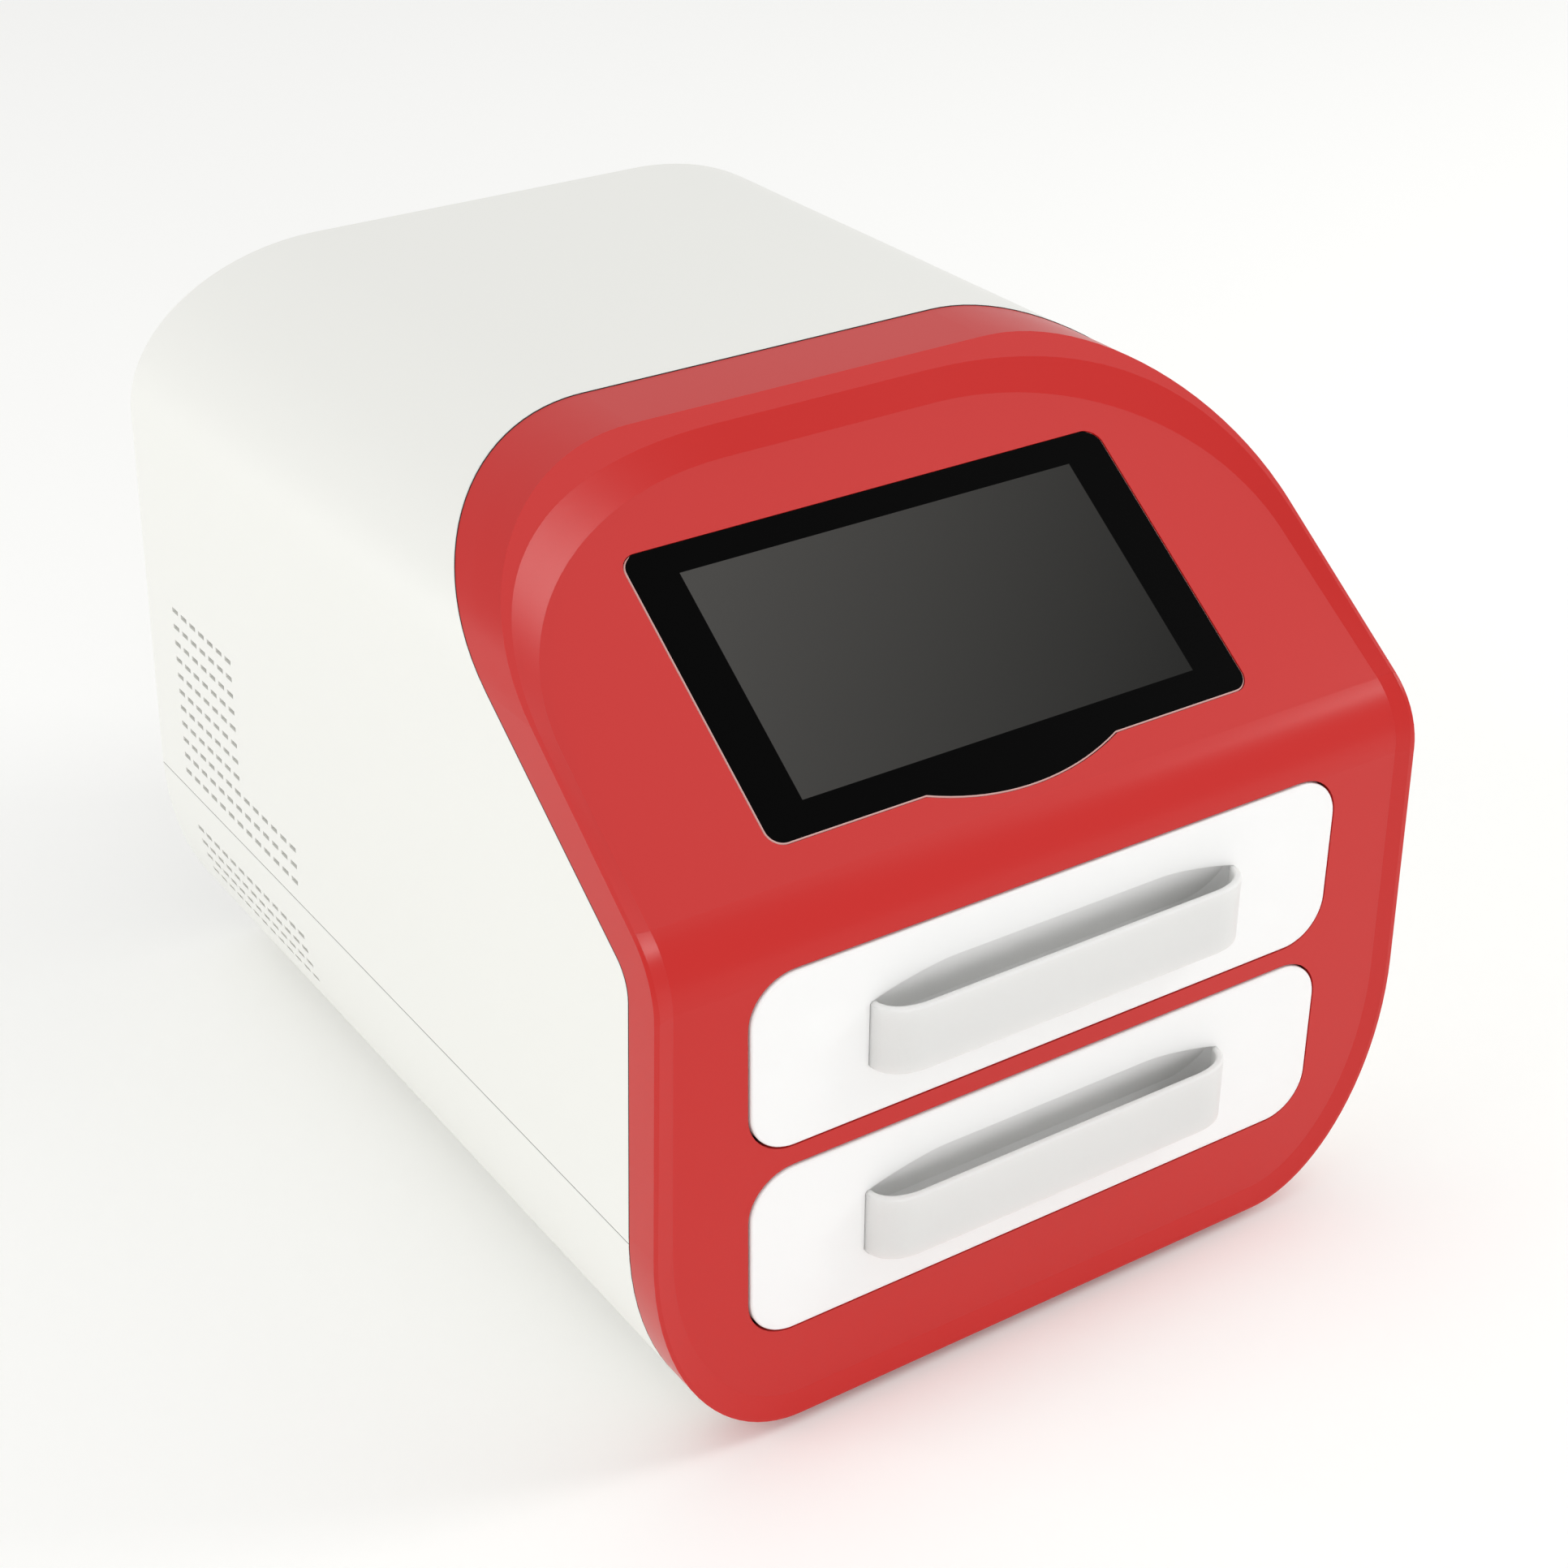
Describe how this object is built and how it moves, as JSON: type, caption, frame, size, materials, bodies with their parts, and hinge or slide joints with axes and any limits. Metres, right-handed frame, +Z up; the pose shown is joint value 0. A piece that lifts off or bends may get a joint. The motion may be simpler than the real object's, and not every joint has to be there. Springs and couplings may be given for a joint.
{
  "type": "semi-dry blotter",
  "caption": "Benchtop semi-dry blotter with a rounded white housing, red front bezel, sloping touch display and stacked cassette drawers with cup pulls.",
  "frame": {"origin": "on the bench, under the middle of the instrument", "axes": "+Z up, the drawers and display face -Y, +X to the right seen from the front"},
  "size_m": [0.3046, 0.382, 0.2962],
  "materials": {
    "red_plastic": "satin",
    "white_plastic": "satin",
    "tray_plastic": "matte",
    "rail_plastic": "matte",
    "black_plastic": "matte",
    "rubber": "matte",
    "black_glass": "gloss",
    "screen": "satin",
    "circuit_board": "matte",
    "sheet_steel": "satin",
    "screw_steel": "satin",
    "stainless": "satin",
    "coated_titanium": "satin",
    "aluminium": "satin",
    "brass": "satin",
    "grey_paint": "satin"
  },
  "bodies": {
    "housing": {"base_screws": "screw_steel", "bay_back": "sheet_steel", "bay_side_left": "sheet_steel", "bay_side_right": "sheet_steel", "board_capacitors": "black_plastic", "board_spacers": "brass", "chassis_plate": "sheet_steel", "display_board": "circuit_board", "display_glass": "black_glass", "display_spacers": "brass", "fan_frame": "black_plastic", "fan_guard": "screw_steel", "fan_screws": "screw_steel", "foot_front_left": "rubber", "foot_front_right": "rubber", "foot_rear_left": "rubber", "foot_rear_right": "rubber", "front_bezel": "red_plastic", "fuse_holder": "black_plastic", "heat_sink": "aluminium", "inlet_pins": "brass", "lcd_module": "screen", "lower_base": "white_plastic", "lower_contact_sockets": "black_plastic", "lower_left_rail": "rail_plastic", "lower_right_rail": "rail_plastic", "main_board": "circuit_board", "mains_inlet": "black_plastic", "middle_shelf": "sheet_steel", "power_supply": "aluminium", "rear_panel": "grey_paint", "rear_panel_screws": "screw_steel", "switch_housing": "black_plastic", "top_shelf": "sheet_steel", "upper_contact_sockets": "black_plastic", "upper_cover": "white_plastic", "upper_left_rail": "rail_plastic", "upper_right_rail": "rail_plastic", "usb_port": "screw_steel"},
    "lower_drawer": {"lower_drawer_front": "white_plastic", "lower_drawer_pull": "white_plastic", "lower_tray": "tray_plastic", "lower_anode_plate": "coated_titanium", "lower_cathode_plate": "stainless", "lower_cassette_lid": "tray_plastic", "lower_lid_bushes": "rubber", "lower_contact_blades": "brass", "lower_drawer_screws": "screw_steel"},
    "upper_drawer": {"upper_drawer_front": "white_plastic", "upper_drawer_pull": "white_plastic", "upper_tray": "tray_plastic", "upper_anode_plate": "coated_titanium", "upper_cathode_plate": "stainless", "upper_cassette_lid": "tray_plastic", "upper_lid_bushes": "rubber", "upper_contact_blades": "brass", "upper_drawer_screws": "screw_steel"},
    "fan": {"fan_rotor": "black_plastic"},
    "rocker": {"power_rocker": "black_plastic"}
  },
  "joints": [
    {"name": "lower_drawer_slide", "type": "slide", "parent": "housing", "child": "lower_drawer", "axis": [0, -1, 0], "range_m": [0, 0.17]},
    {"name": "upper_drawer_slide", "type": "slide", "parent": "housing", "child": "upper_drawer", "axis": [0, -1, 0], "range_m": [0, 0.17]},
    {"name": "fan_spin", "type": "hinge", "parent": "housing", "child": "fan", "pos_m": [0.06, 0.175, 0.225], "axis": [0, 1, 0], "continuous": true},
    {"name": "rocker_tip", "type": "hinge", "parent": "housing", "child": "rocker", "pos_m": [-0.055, 0.183, 0.074], "axis": [1, 0, 0], "range_deg": [-14, 0]}
  ]
}
